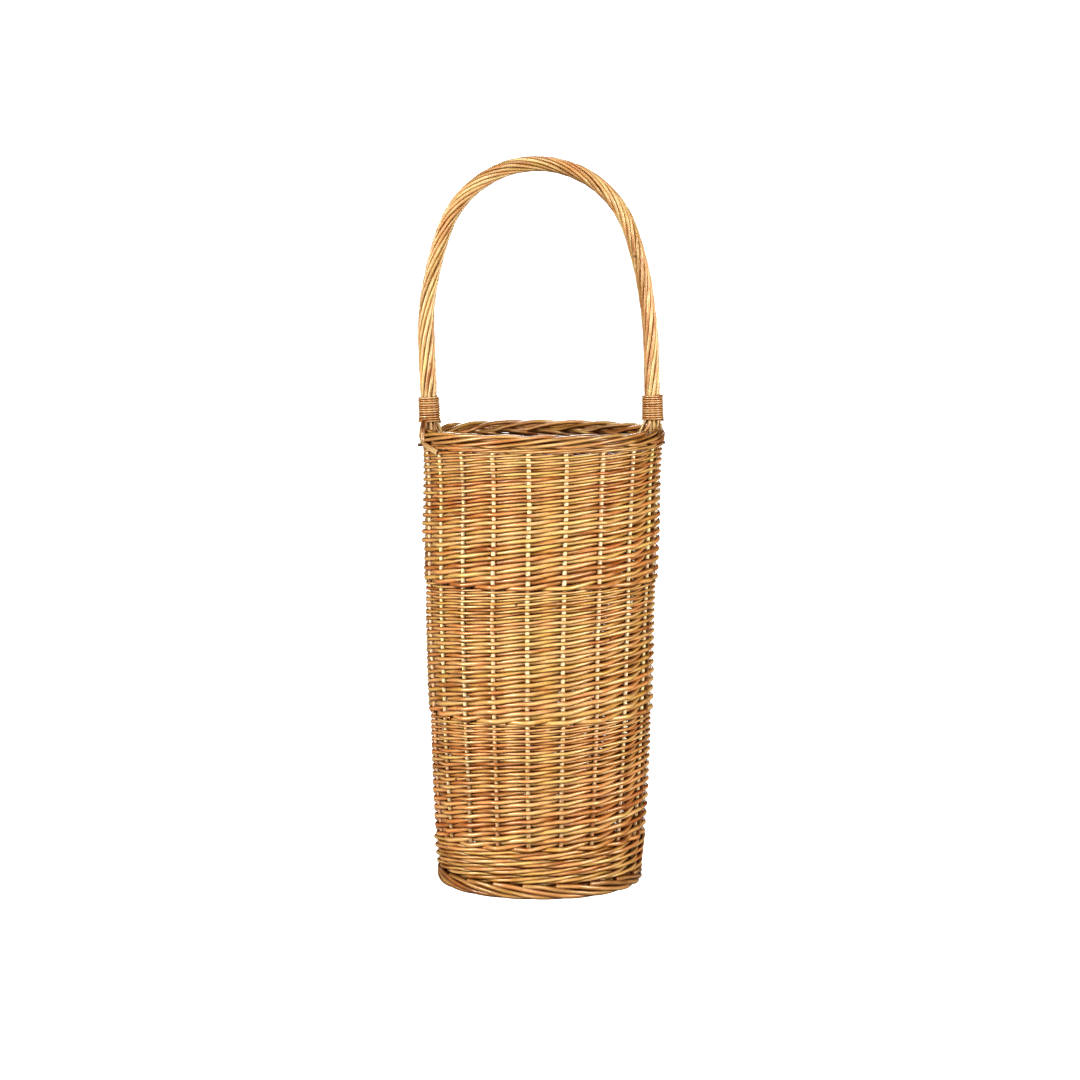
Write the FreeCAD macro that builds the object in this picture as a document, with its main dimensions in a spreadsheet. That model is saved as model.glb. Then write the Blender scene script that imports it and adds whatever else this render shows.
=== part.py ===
import FreeCAD, Part
import math
import os
import Sketcher

# Umbrella stand: a tall tapered willow basket with a fixed roped hoop handle.
# Frame: origin on the floor under the basket's centre, +Z up, handle in the XZ plane.
# Millimetres and degrees. Every driving size is a cell of the sheet Dims.

DIMENSIONS = [
    ("spoke_count", 20, "base spokes, and as many side stakes"),
    ("stake_dia", 5.2, "side stake diameter"),
    ("stake_phase", 3.6, "angle of the first side stake, beside the handle's foot"),
    ("stake_drift", 3.2, "how far the stakes are out of even spacing at the worst"),
    ("stake_drift_angle", 325, "angle at which they are furthest out"),
    ("stake_drift_width", 28, "how far round the uneven spacing reaches"),
    ("stake_butt_radius", 58, "how far from the axis a stake's butt end lies in the base"),
    ("stake_bend_radius", 12, "bend from the base up into the wall"),
    ("base_level", 15, "height of the base sticks' centre line"),
    ("wall_foot_radius", 108, "radius of the stake circle, carried down to the floor"),
    ("wall_top_radius", 126, "radius of the stake circle under the rim"),
    ("upset_bottom", 18.5, "top of the foot border"),
    ("lower_bottom", 54, "top of the upset wale"),
    ("middle_bottom", 194, "foot of the middle rand"),
    ("upper_bottom", 339.5, "foot of the upper rand"),
    ("rand_top", 485, "top of the upper rand"),
    ("wall_top", 490, "top of the top wale, where the border starts"),
    ("butt_dia", 5.2, "weaving rod at its butt, at the foot of each rand"),
    ("tip_dia", 2.7, "weaving rod at its tip, at the top of each rand"),
    ("wale_dia", 4.2, "waling rod at the foot"),
    ("rim_radius", 127, "centre line radius of the rolled top border"),
    ("rim_dia", 13.2, "thickness of the rolled top border"),
    ("foot_ring_radius", 108.9, "centre line radius of the foot border"),
    ("foot_ring_width", 11.4, "width of the foot border"),
    ("foot_ring_corner", 3.5, "rounding of the foot border"),
    ("split_stick_dia", 7, "split base stick"),
    ("threaded_stick_dia", 5.6, "threaded base stick"),
    ("threaded_flat", 4, "thickness of a threaded stick where it is shaved flat"),
    ("split_stick_pitch", 8, "spacing of the split sticks in the slath"),
    ("threaded_stick_pitch", 6, "spacing of the threaded sticks in the slath"),
    ("slath_margin", 10, "how far the tools that shape the slath reach past its sticks"),
    ("slath_run_out", 1, "shaved length of a threaded stick beyond the split sticks"),
    ("spoke_phase", -1.7, "angle of the first base spoke"),
    ("spoke_reach", 99, "radius that the base sticks reach"),
    ("base_weave_inner", 28, "radius where the base weave starts"),
    ("base_weave_outer", 101, "outer radius of the base weave"),
    ("base_weave_thickness", 12, "thickness of the base weave over the sticks"),
    ("core_dia", 9.1, "handle bow rod"),
    ("core_foot_level", 380, "lower end of the bow rod, in the wall"),
    ("core_foot_span", 121.5, "half the distance between the bow's lower ends"),
    ("core_spring_level", 592, "height where the bow's arch springs"),
    ("core_spring_span", 124.3, "half the bow's width at the spring"),
    ("core_crown_level", 791.8, "height of the bow's centre line at the crown"),
    ("core_crown_radius", 109, "bend radius of the crown"),
    ("strand_count", 10, "rods roped round the bow"),
    ("strand_dia", 3.6, "roping rod"),
    ("strand_turns", 3.1, "turns that each roping rod makes, foot to foot"),
    ("rope_foot_level", 504.5, "height where the roping goes into the border"),
    ("binding_level", 511, "foot of the binding coil's lowest turn"),
    ("binding_rod_dia", 3.2, "binding rod"),
    ("binding_pitch", 3.5, "rise of one binding turn"),
    ("binding_turns", 7.5, "turns of the binding"),
    ("binding_gap", 0.15, "gap between the binding and the roping"),
    ("tie_dia", 4.6, "rod tied down over the outside of the border"),
    ("tie_bend", 61, "radius that the tie is bent to"),
    ("tie_drop", 29, "height of the tie"),
    ("tie_level", 497.5, "height of the tie's middle"),
    ("tie_gap", 0.2, "gap between the tie and the border"),
    ("tie_angle", 2.6, "how far round from the handle's foot the tie lies"),
    ("peg_dia", 3.2, "peg through the wall and the bow"),
    ("peg_level", 486, "height of the pegs"),
    ("peg_inner", 116.5, "radius of a peg's inner end"),
    ("peg_outer", 138.3, "radius of a peg's outer end"),
]

doc = FreeCAD.newDocument("umbrella_stand")
size = {name: value for name, value, note in DIMENSIONS}
nodes = {}


def make_sheet():
    sheet = doc.addObject("Spreadsheet::Sheet", "Dims")
    for row, (name, value, note) in enumerate(DIMENSIONS, start=1):
        sheet.set(f"A{row}", name)
        sheet.set(f"B{row}", str(value))
        sheet.setAlias(f"B{row}", name)
        sheet.set(f"C{row}", note)
    doc.recompute()


# Expressions of the wall, shared by several sub-parts.
LEAN = "((Dims.wall_top_radius - Dims.wall_foot_radius) / Dims.rand_top)"


def stake_circle(level):
    """Radius of the stake circle at a height, both as expressions."""
    return f"Dims.wall_foot_radius + {LEAN} * ({level})"


def wall_face(level, rod, side):
    """Radius of the weave's outer (side +) or inner (side -) face at a height."""
    return f"{stake_circle(level)} {side} (Dims.stake_dia / 2 + {rod})"


# ---- sketch and feature helpers ----


def turned(degrees):
    """A placement turned about the basket's axis."""
    return FreeCAD.Placement(FreeCAD.Vector(0, 0, 0), FreeCAD.Rotation(FreeCAD.Vector(0, 0, 1), degrees))


def origin_plane(body, role):
    return next(f for f in body.Origin.OriginFeatures if f.Role == role)


def new_body(name):
    body = doc.addObject("PartDesign::Body", name)
    body.Label = name
    return body


def new_sketch(body, name, role):
    sketch = body.newObject("Sketcher::SketchObject", name)
    sketch.AttachmentSupport = (origin_plane(body, role), "")
    sketch.MapMode = "FlatFace"
    return sketch


def bind(sketch, constraint, expression):
    """Adds a constraint whose value is an expression of the sheet."""
    index = sketch.addConstraint(constraint)
    sketch.setExpression(f"Constraints[{index}]", expression)


def bind_point(sketch, edge, end, x, y):
    """Ties one end of an edge to two expressions, measured from the sketch's origin."""
    bind(sketch, Sketcher.Constraint("DistanceX", -1, 1, edge, end, 1.0), x)
    bind(sketch, Sketcher.Constraint("DistanceY", -1, 1, edge, end, 1.0), y)


def revolved_ring(name, corners):
    """A ring turned about Z: corners are (radius, height) expressions of its section."""
    body = new_body(name)
    sketch = new_sketch(body, f"{name}_section", "XZ_Plane")
    count = len(corners)
    # A rough polygon clear of the axis, which the constraints then pull into shape.
    middle = FreeCAD.Vector(size["wall_foot_radius"], 0, 0)
    spoke = FreeCAD.Vector(size["rim_dia"], 0, 0)
    rough = [middle + turned(360 / count * i).multVec(spoke) for i in range(count)]
    for i in range(count):
        sketch.addGeometry(Part.LineSegment(rough[i], rough[(i + 1) % count]), False)
    for i in range(count):
        sketch.addConstraint(Sketcher.Constraint("Coincident", i, 2, (i + 1) % count, 1))
    for i, (radius, height) in enumerate(corners):
        bind_point(sketch, i, 1, radius, height)
    turn = body.newObject("PartDesign::Revolution", f"{name}_turn")
    turn.Profile = sketch
    turn.ReferenceAxis = (sketch, ["V_Axis"])
    turn.Angle = 360
    return body


def circle_section(body, name, role, centre, diameter, offset):
    """A round section on an origin plane moved by offset, for a pipe to follow a path from."""
    sketch = new_sketch(body, name, role)
    sketch.setExpression("AttachmentOffset.Base.z", offset)
    sketch.addGeometry(Part.Circle(FreeCAD.Vector(1, 1, 0), FreeCAD.Vector(0, 0, 1), 2), False)
    bind_point(sketch, 0, 3, *centre)
    bind(sketch, Sketcher.Constraint("Diameter", 0, 2.0), diameter)
    return sketch


def pipe(body, name, section, path):
    feature = body.newObject("PartDesign::AdditivePipe", name)
    feature.Profile = section
    feature.Spine = path
    return feature


def compound(name, parts):
    group = doc.addObject("Part::Compound", name)
    group.Links = parts
    return group


def cut(name, base, tool):
    """The base less whatever passes through it."""
    feature = doc.addObject("Part::Cut", name)
    feature.Base = base
    feature.Tool = tool
    return feature


def keep(name, feature):
    """Makes a feature a sub-part of its own, under the name of its file."""
    feature.Label = name
    nodes[name] = feature
    return feature


# ---- base: split and threaded sticks, and the weave round them ----


def base_stick(name, index, pitch, diameter, edge):
    """A round stick lying along X: straight through the slath, then fanned out to its spokes."""
    body = new_body(name)
    path = new_sketch(body, f"{name}_path", "XY_Plane")
    path.setExpression("AttachmentOffset.Base.z", "Dims.base_level")
    fan = f"({index} * 360 / Dims.spoke_count) * 1 deg"
    side = f"{index} * Dims.{pitch}"
    step = FreeCAD.Vector(size["spoke_reach"] / 2, 0, 0)
    for i in range(2):
        path.addGeometry(Part.LineSegment(step * i, step * (i + 1)), False)
    path.addConstraint(Sketcher.Constraint("Coincident", 0, 2, 1, 1))
    bind_point(path, 0, 1, "0", side)
    bind_point(path, 1, 1, edge, side)
    bind_point(path, 1, 2, f"Dims.spoke_reach * cos({fan})", f"Dims.spoke_reach * sin({fan})")
    section = circle_section(
        body, f"{name}_section", "YZ_Plane", (side, "Dims.base_level"), f"Dims.{diameter}", "0"
    )
    half = pipe(body, f"{name}_half", section, path)
    half.Transition = "Round corner"
    whole = body.newObject("PartDesign::Mirrored", f"{name}_whole")
    whole.Originals = [half]
    whole.MirrorPlane = (origin_plane(body, "YZ_Plane"), [""])
    body.Tip = whole
    return body


def slath_box(name, along, across, tall):
    """A block centred on the slath."""
    block = doc.addObject("Part::Box", name)
    block.setExpression("Length", along)
    block.setExpression("Width", across)
    block.setExpression("Height", tall)
    block.setExpression("Placement.Base.x", f"-({along}) / 2")
    block.setExpression("Placement.Base.y", f"-({across}) / 2")
    block.setExpression("Placement.Base.z", f"Dims.base_level - ({tall}) / 2")
    return block


def make_base_sticks():
    """Five split sticks with five threaded through them, fanned out to twenty spokes."""
    threaded_half = "(2.5 * Dims.threaded_stick_pitch)"
    split_half = "(2 * Dims.split_stick_pitch + Dims.split_stick_dia / 2 + Dims.slath_run_out)"
    long = f"2 * ({split_half} + Dims.slath_margin)"
    slot = slath_box("slot", f"2 * {threaded_half}", long, "Dims.threaded_flat")
    round_the_sticks = slath_box("shave", f"2 * {split_half}", long, "2 * Dims.threaded_stick_dia")
    flat = slath_box("shaved", long, f"2 * {long}", "Dims.threaded_flat")
    shaves = cut("shave_faces", round_the_sticks, flat)
    sticks = []
    for number in range(10):
        name = f"base_stick_{number + 1:02d}"
        blank_name = f"{name}_blank"
        index = number % 5 - 2
        if number < 5:
            blank = base_stick(blank_name, index, "split_stick_pitch", "split_stick_dia", threaded_half)
            stick = cut(name, blank, slot)
        else:
            blank = base_stick(blank_name, index, "threaded_stick_pitch", "threaded_stick_dia", split_half)
            stick = cut(name, blank, shaves)
            stick.Placement = turned(90)
        stick.Placement = turned(size["spoke_phase"]).multiply(stick.Placement)
        sticks.append(keep(name, stick))
    return sticks


# ---- side stakes ----


def stake_geometry():
    """The bend between a stake's butt in the base and its straight run up the wall."""
    lean = math.atan((size["wall_top_radius"] - size["wall_foot_radius"]) / size["rand_top"])
    level = size["base_level"]
    bend = size["stake_bend_radius"]
    turn = math.pi / 2 - lean
    corner = size["wall_foot_radius"] + math.tan(lean) * level
    setback = bend * math.tan(turn / 2)
    centre = FreeCAD.Vector(corner - setback, level + bend, 0)
    foot = FreeCAD.Vector(corner + setback * math.sin(lean), level + setback * math.cos(lean), 0)
    return lean, centre, foot


def side_stake(name, angle):
    body = new_body(name)
    path = new_sketch(body, f"{name}_path", "XZ_Plane")
    lean, centre, foot = stake_geometry()
    top = size["wall_top"]
    butt = FreeCAD.Vector(size["stake_butt_radius"], size["base_level"], 0)
    bend_start = FreeCAD.Vector(centre.x, size["base_level"], 0)
    head = FreeCAD.Vector(size["wall_foot_radius"] + math.tan(lean) * top, top, 0)
    bend = Part.Circle(centre, FreeCAD.Vector(0, 0, 1), size["stake_bend_radius"])
    path.addGeometry(Part.LineSegment(butt, bend_start), False)
    path.addGeometry(Part.ArcOfCircle(bend, -math.pi / 2, -lean), False)
    path.addGeometry(Part.LineSegment(foot, head), False)
    path.addConstraint(Sketcher.Constraint("Tangent", 0, 2, 1, 1))
    path.addConstraint(Sketcher.Constraint("Tangent", 1, 2, 2, 1))
    path.addConstraint(Sketcher.Constraint("Horizontal", 0))
    bind_point(path, 0, 1, "Dims.stake_butt_radius", "Dims.base_level")
    bind(path, Sketcher.Constraint("Radius", 1, size["stake_bend_radius"]), "Dims.stake_bend_radius")
    bind_point(path, 2, 2, stake_circle("Dims.wall_top"), "Dims.wall_top")
    bind(path, Sketcher.Constraint("Angle", -1, 1, 2, 1, math.pi / 2 - lean), f"atan(1 / {LEAN})")
    butt_centre = ("0", "Dims.base_level")
    section = circle_section(
        body, f"{name}_section", "YZ_Plane", butt_centre, "Dims.stake_dia", "Dims.stake_butt_radius"
    )
    pipe(body, f"{name}_pipe", section, path)
    body.Placement = turned(angle)
    return keep(name, body)


def stake_angle(number):
    """Even spacing, but for a few stakes that lean round to one side, as in hand work."""
    angle = size["stake_phase"] + 360 / size["spoke_count"] * number
    away = (angle - size["stake_drift_angle"]) / size["stake_drift_width"]
    return angle + size["stake_drift"] * math.exp(-away * away)


def make_stakes():
    return [side_stake(f"side_stake_{k + 1:02d}", stake_angle(k)) for k in range(size["spoke_count"])]


# ---- handle: bow, roping, bindings, tie and pegs ----


class Bow:
    """The bow's centre line in the XZ plane: two straight legs, two side arcs and a crown arc."""

    def __init__(self):
        span = size["core_spring_span"]
        rise = size["core_spring_level"] - size["core_foot_level"]
        self.tilt = math.atan((span - size["core_foot_span"]) / rise)
        self.crown_radius = size["core_crown_radius"]
        self.crown_centre = size["core_crown_level"] - self.crown_radius
        drop = size["core_spring_level"] - self.crown_centre
        across = span * math.cos(self.tilt) - drop * math.sin(self.tilt) - self.crown_radius
        self.side_radius = (span**2 + drop**2 - self.crown_radius**2) / (2 * across)
        self.side_centre = FreeCAD.Vector(
            span - self.side_radius * math.cos(self.tilt),
            0,
            size["core_spring_level"] + self.side_radius * math.sin(self.tilt),
        )
        self.join = math.atan2(self.crown_centre - self.side_centre.z, -self.side_centre.x)
        self.leg = (size["core_spring_level"] - size["rope_foot_level"]) / math.cos(self.tilt)
        self.side = self.side_radius * (self.join + self.tilt)
        self.half_crown = self.crown_radius * (math.pi / 2 - self.join)
        self.length = 2 * (self.leg + self.side + self.half_crown)

    def right_half(self, along):
        """Point and tangent at a distance up from the right-hand foot of the roping."""
        if along <= self.leg:
            tangent = FreeCAD.Vector(math.sin(self.tilt), 0, math.cos(self.tilt))
            spring = FreeCAD.Vector(size["core_spring_span"], 0, size["core_spring_level"])
            return spring - tangent * (self.leg - along), tangent
        if along <= self.leg + self.side:
            angle = (along - self.leg) / self.side_radius - self.tilt
            centre = self.side_centre
            radius = self.side_radius
        else:
            angle = self.join + (along - self.leg - self.side) / self.crown_radius
            centre = FreeCAD.Vector(0, 0, self.crown_centre)
            radius = self.crown_radius
        outward = FreeCAD.Vector(math.cos(angle), 0, math.sin(angle))
        return centre + outward * radius, FreeCAD.Vector(-math.sin(angle), 0, math.cos(angle))

    def at(self, along):
        """Point and tangent anywhere on the way from the right-hand foot to the left-hand one."""
        if along <= self.length / 2:
            return self.right_half(along)
        point, tangent = self.right_half(self.length - along)
        return FreeCAD.Vector(-point.x, 0, point.z), FreeCAD.Vector(tangent.x, 0, -tangent.z)


def make_core(bow):
    """The bow rod: legs down in the wall, side arcs and a crown arc, all tangent."""
    body = new_body("handle_core_blank")
    path = new_sketch(body, "handle_core_path", "XZ_Plane")
    up = FreeCAD.Vector(0, 0, 1)
    foot = FreeCAD.Vector(size["core_foot_span"], size["core_foot_level"], 0)
    spring = FreeCAD.Vector(size["core_spring_span"], size["core_spring_level"], 0)
    side_centre = FreeCAD.Vector(bow.side_centre.x, bow.side_centre.z, 0)
    crown_centre = FreeCAD.Vector(0, bow.crown_centre, 0)

    def mirrored(point):
        return FreeCAD.Vector(-point.x, point.y, 0)

    right_side = Part.Circle(side_centre, up, bow.side_radius)
    left_side = Part.Circle(mirrored(side_centre), up, bow.side_radius)
    crown = Part.Circle(crown_centre, up, bow.crown_radius)
    path.addGeometry(Part.LineSegment(foot, spring), False)
    path.addGeometry(Part.ArcOfCircle(right_side, -bow.tilt, bow.join), False)
    path.addGeometry(Part.ArcOfCircle(crown, bow.join, math.pi - bow.join), False)
    path.addGeometry(Part.ArcOfCircle(left_side, math.pi - bow.join, math.pi + bow.tilt), False)
    path.addGeometry(Part.LineSegment(mirrored(spring), mirrored(foot)), False)
    for edge in range(4):
        path.addConstraint(Sketcher.Constraint("Tangent", edge, 2, edge + 1, 1))
    bind_point(path, 0, 1, "Dims.core_foot_span", "Dims.core_foot_level")
    bind_point(path, 0, 2, "Dims.core_spring_span", "Dims.core_spring_level")
    bind(path, Sketcher.Constraint("Radius", 2, bow.crown_radius), "Dims.core_crown_radius")
    bind_point(path, 4, 2, "-Dims.core_foot_span", "Dims.core_foot_level")
    bind_point(path, 4, 1, "-Dims.core_spring_span", "Dims.core_spring_level")
    foot_centre = ("Dims.core_foot_span", "0")
    section = circle_section(
        body, "handle_core_section", "XY_Plane", foot_centre, "Dims.core_dia", "Dims.core_foot_level"
    )
    pipe(body, "handle_core_pipe", section, path)
    return body


POINT_SPACING = 2.5  # a roping rod's line has a point every so many of its diameters


def strand_shape(bow, number):
    """One roping rod: a right-handed helix that follows the bow."""
    radius = (size["core_dia"] + size["strand_dia"]) / 2
    start = 2 * math.pi * number / size["strand_count"]
    steps = round(bow.length / (POINT_SPACING * size["strand_dia"]))
    points = []
    for i in range(steps + 1):
        share = i / steps
        point, tangent = bow.at(share * bow.length)
        across = tangent.cross(FreeCAD.Vector(0, 1, 0))
        angle = start + 2 * math.pi * size["strand_turns"] * share
        away = across * math.cos(angle) + tangent.cross(across) * math.sin(angle)
        points.append(point + away * radius)
    line = Part.BSplineCurve()
    line.interpolate(points)
    spine = Part.Wire([line.toShape()])
    tangent = line.tangent(line.FirstParameter)[0]
    section = Part.Wire([Part.Circle(points[0], tangent, size["strand_dia"] / 2).toShape()])
    return spine.makePipeShell([section], True, True)


def make_strands(bow):
    for number in range(size["strand_count"]):
        name = f"handle_strand_{number + 1:02d}"
        strand = doc.addObject("Part::Feature", name)
        strand.Shape = strand_shape(bow, number)
        keep(name, strand)


def make_binding(name, side, bow):
    """A close coil round the foot of the roping; side is +1 on the right, -1 on the left."""
    coil = doc.addObject("Part::Helix", f"{name}_line")
    coil.setExpression("Pitch", "Dims.binding_pitch")
    coil.setExpression("Height", "Dims.binding_pitch * Dims.binding_turns")
    roping_radius = "Dims.core_dia / 2 + Dims.strand_dia"
    coil.setExpression("Radius", f"{roping_radius} + Dims.binding_gap + Dims.binding_rod_dia / 2")
    section = doc.addObject("Part::Circle", f"{name}_section")
    section.setExpression("Radius", "Dims.binding_rod_dia / 2")
    doc.recompute()
    section.Placement = FreeCAD.Placement(
        FreeCAD.Vector(coil.Radius.Value, 0, 0), FreeCAD.Rotation(FreeCAD.Vector(1, 0, 0), 90)
    )
    sweep = doc.addObject("Part::Sweep", name)
    sweep.Sections = [section]
    sweep.Spine = (coil, ["Edge1"])
    sweep.Solid = True
    sweep.Frenet = True
    span = size["core_foot_span"] + math.tan(bow.tilt) * (size["binding_level"] - size["core_foot_level"])
    lean = FreeCAD.Rotation(FreeCAD.Vector(0, 1, 0), side * math.degrees(bow.tilt))
    sweep.Placement = FreeCAD.Placement(FreeCAD.Vector(side * span, 0, size["binding_level"]), lean)
    return keep(name, sweep)


def make_tie(angle):
    """A rod bent down over the outside of the border at the left-hand foot: a piece of a ring."""
    tie = doc.addObject("Part::Torus", "handle_tie_left")
    tie.setExpression("Radius1", "Dims.tie_bend")
    tie.setExpression("Radius2", "Dims.tie_dia / 2")
    tie.setExpression("Angle3", "2 * asin(Dims.tie_drop / 2 / Dims.tie_bend)")
    half_turn = math.degrees(math.asin(size["tie_drop"] / 2 / size["tie_bend"]))
    outer = size["rim_radius"] + (size["rim_dia"] + size["tie_dia"]) / 2 + size["tie_gap"]
    centre = FreeCAD.Vector(size["tie_bend"] - outer, 0, size["tie_level"])
    upright = FreeCAD.Rotation(FreeCAD.Vector(1, 0, 0), 90)
    start = FreeCAD.Rotation(FreeCAD.Vector(0, 0, 1), 180 - half_turn)
    tie.Placement = turned(angle).multiply(FreeCAD.Placement(centre, upright.multiply(start)))
    return keep("handle_tie_left", tie)


def make_peg(name, side):
    """A round peg driven in along X, through the wall and the bow."""
    peg = doc.addObject("Part::Cylinder", name)
    peg.setExpression("Radius", "Dims.peg_dia / 2")
    peg.setExpression("Height", "Dims.peg_outer - Dims.peg_inner")
    peg.setExpression("Placement.Base.x", f"{side} * Dims.peg_inner")
    peg.setExpression("Placement.Base.z", "Dims.peg_level")
    peg.Placement.Rotation = FreeCAD.Rotation(FreeCAD.Vector(0, 1, 0), side * 90)
    return keep(name, peg)


# ---- wall, borders and base weave, each with holes for the rods that pass through ----


def make_wall(through):
    """The woven rings, from the foot up. Each is a closed ring with the weave's true faces."""
    rounds = [
        ("upset_wale", "upset_bottom", "lower_bottom", "wale_dia", "wale_dia"),
        ("rand_band_lower", "lower_bottom", "middle_bottom", "butt_dia", "tip_dia"),
        ("rand_band_middle", "middle_bottom", "upper_bottom", "butt_dia", "tip_dia"),
        ("rand_band_upper", "upper_bottom", "rand_top", "butt_dia", "tip_dia"),
        ("top_wale", "rand_top", "wall_top", "tip_dia", "tip_dia"),
    ]
    for name, bottom, top, low_rod, high_rod in rounds:
        low = f"Dims.{bottom}"
        high = f"Dims.{top}"
        corners = [
            (wall_face(low, f"Dims.{low_rod}", "-"), low),
            (wall_face(low, f"Dims.{low_rod}", "+"), low),
            (wall_face(high, f"Dims.{high_rod}", "+"), high),
            (wall_face(high, f"Dims.{high_rod}", "-"), high),
        ]
        keep(name, cut(name, revolved_ring(f"{name}_blank", corners), through))


def make_foot_border(through):
    """The rolled ring under the wall, flat below where it stands."""
    near = "Dims.foot_ring_radius - Dims.foot_ring_width / 2"
    far = "Dims.foot_ring_radius + Dims.foot_ring_width / 2"
    corner = "Dims.foot_ring_corner"
    inset = f"{corner} * (1 - sqrt(0.5))"  # how far a rounded corner's middle lies in from the edges
    top = "Dims.upset_bottom"
    corners = [
        (f"{near} + {corner}", "0"),
        (f"{far} - {corner}", "0"),
        (f"{far} - {inset}", inset),
        (far, corner),
        (far, f"{top} - {corner}"),
        (f"{far} - {inset}", f"{top} - {inset}"),
        (f"{far} - {corner}", top),
        (f"{near} + {corner}", top),
        (f"{near} + {inset}", f"{top} - {inset}"),
        (near, f"{top} - {corner}"),
        (near, corner),
        (f"{near} + {inset}", inset),
    ]
    keep("foot_border", cut("foot_border", revolved_ring("foot_border_blank", corners), through))


def make_top_border(through):
    """The rolled border, round in section, on top of the wall."""
    ring = doc.addObject("Part::Torus", "top_border_blank")
    ring.setExpression("Radius1", "Dims.rim_radius")
    ring.setExpression("Radius2", "Dims.rim_dia / 2")
    ring.setExpression("Placement.Base.z", "Dims.wall_top + Dims.rim_dia / 2")
    keep("top_border", cut("top_border", ring, through))


def make_base_weave(through):
    half = "Dims.base_weave_thickness / 2"
    corners = [
        ("Dims.base_weave_inner", f"Dims.base_level - {half}"),
        ("Dims.base_weave_outer", f"Dims.base_level - {half}"),
        ("Dims.base_weave_outer", f"Dims.base_level + {half}"),
        ("Dims.base_weave_inner", f"Dims.base_level + {half}"),
    ]
    keep("base_weave", cut("base_weave", revolved_ring("base_weave_blank", corners), through))


def check_document():
    """Stops at any failed feature, and at any sub-part whose shape is missing or not valid."""
    for item in doc.Objects:
        if "Invalid" in item.State or "Error" in item.State:
            raise RuntimeError(f"{item.Label} failed: {item.State}")
    for name, feature in nodes.items():
        if feature.Shape.isNull() or not feature.Shape.isValid():
            raise RuntimeError(f"{name} has no valid shape")


def write_parts():
    os.makedirs("parts", exist_ok=True)
    for name, feature in nodes.items():
        feature.Shape.exportStep(os.path.join("parts", f"{name}.step"))
        box = feature.Shape.BoundBox
        print(f"{name:20s} {feature.Shape.Volume / 1000:8.2f} cm3  z {box.ZMin:7.2f} to {box.ZMax:7.2f}")


def main():
    make_sheet()
    bow = Bow()
    sticks = make_base_sticks()
    stakes = make_stakes()
    pegs = [make_peg("handle_peg_left", -1), make_peg("handle_peg_right", 1)]
    core_blank = make_core(bow)
    keep("handle_core", cut("handle_core", core_blank, compound("pegs", pegs)))
    make_strands(bow)
    make_binding("handle_binding_left", -1, bow)
    make_binding("handle_binding_right", 1, bow)
    make_tie(size["tie_angle"])
    uprights = compound("uprights", stakes + [core_blank] + pegs)
    make_wall(uprights)
    make_foot_border(compound("stakes", stakes))
    make_top_border(core_blank)
    make_base_weave(compound("spokes", sticks + stakes))
    doc.recompute()
    print(f"roping {bow.length:.1f} mm long, side arc {bow.side_radius:.1f} mm")
    check_document()
    write_parts()


main()
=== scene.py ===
import math
import random

import bpy
import numpy as np
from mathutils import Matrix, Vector


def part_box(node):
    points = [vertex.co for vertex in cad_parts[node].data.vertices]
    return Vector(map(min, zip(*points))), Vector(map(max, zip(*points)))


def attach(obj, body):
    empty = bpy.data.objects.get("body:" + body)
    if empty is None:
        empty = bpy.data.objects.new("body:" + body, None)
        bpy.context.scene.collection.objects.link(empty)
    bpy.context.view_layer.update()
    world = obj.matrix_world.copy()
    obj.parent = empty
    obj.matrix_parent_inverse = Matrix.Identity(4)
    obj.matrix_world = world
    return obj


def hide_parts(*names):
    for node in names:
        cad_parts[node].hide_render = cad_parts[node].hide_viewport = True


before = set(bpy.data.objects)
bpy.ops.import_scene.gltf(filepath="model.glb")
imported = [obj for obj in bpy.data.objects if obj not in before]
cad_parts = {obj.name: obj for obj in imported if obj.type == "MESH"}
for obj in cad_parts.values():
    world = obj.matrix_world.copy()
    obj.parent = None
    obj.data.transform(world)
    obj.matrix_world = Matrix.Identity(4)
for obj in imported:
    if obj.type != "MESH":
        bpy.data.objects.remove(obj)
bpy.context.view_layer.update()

# Umbrella stand: a tall woven willow basket with a rolled rim and a fixed roped hoop handle.
# Every willow rod is a mesh of its own, swept along its true path through the weave.
# Lengths in this file are millimetres and angles are degrees, unless a name says otherwise.
MM = 0.001
BODY = "root"
random.seed(41)

# ---------------------------------------------------------------- sizes, read from the frame


def levels(node):
    low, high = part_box(node)
    return low[2] / MM, high[2] / MM


def half_width(node):
    low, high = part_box(node)
    return (high[0] - low[0]) / 2 / MM


STAKE_DIA = 5.0
BUTT_DIA = 5.3
TIP_DIA = 2.6
WALE_DIA = 4.35
STAKES = sum(name.startswith("side_stake_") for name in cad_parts)
STRANDS = sum(name.startswith("handle_strand_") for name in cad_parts)

WALE_BOTTOM, WALE_TOP = levels("foot_border")[1], levels("rand_band_lower")[0]
BANDS = [(name, *levels(f"rand_band_{name}")) for name in ("lower", "middle", "upper")]
RIM_BOTTOM = levels("top_border")[0]
RIM_PROUD = 0.9  # the drawn rim stands out this much further than the CAD's
RIM_OUTER = half_width("top_border") + RIM_PROUD
FOOT_OUTER = half_width("foot_border")
STAKE_INSET = 6.1  # how far inside the foot border's outer face the stakes start
STAKE_TOP_RADIUS = half_width("top_wale") - STAKE_DIA / 2 - TIP_DIA
STAKE_FOOT_RADIUS = FOOT_OUTER - STAKE_INSET
BASE_LEVEL = sum(levels("base_weave")) / 2

FULL_TURN = 360.0
PHASE = 3.6  # angle of the first stake, which stands beside the handle's right-hand foot
DRIFT, DRIFT_ANGLE, DRIFT_WIDTH = 3.2, 325.0, 28.0  # stakes near this angle lean round by the drift

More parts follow.
